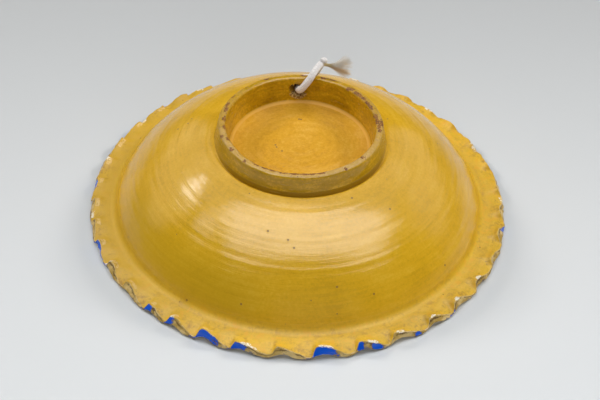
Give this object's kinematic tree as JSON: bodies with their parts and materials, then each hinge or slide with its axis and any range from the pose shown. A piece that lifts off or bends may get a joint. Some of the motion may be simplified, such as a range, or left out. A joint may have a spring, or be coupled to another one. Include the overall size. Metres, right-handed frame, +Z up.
{
  "type": "glazed serving dish",
  "caption": "Wide shallow wheel-thrown dish lying face down, with a finger-crimped rim, a foot ring and a knotted cord loop through the ring for hanging it on a wall.",
  "frame": {"origin": "centre of the circle that the rim rests on, in the plane of the rim, with the dish face down", "axes": "+Z up through the foot ring along the dish's axis, +Y towards the pierced side of the foot ring"},
  "size_m": [0.32, 0.32, 0.0941],
  "materials": {
    "honey_glaze": "gloss",
    "foot_glaze": "gloss, worn on the foot's face",
    "cotton": "matte"
  },
  "bodies": {
    "dish": {"bowl": "honey_glaze", "foot_ring": "foot_glaze"},
    "hanging_loop": {"hanging_cord": "cotton", "cord_knot": "cotton", "frayed_end": "cotton"}
  },
  "joints": [
    {"name": "loop_swing", "type": "hinge", "parent": "dish", "child": "hanging_loop", "pos_m": [0, 0.0592, 0.069], "axis": [0, -1, 0], "range_deg": [0, 80]}
  ]
}
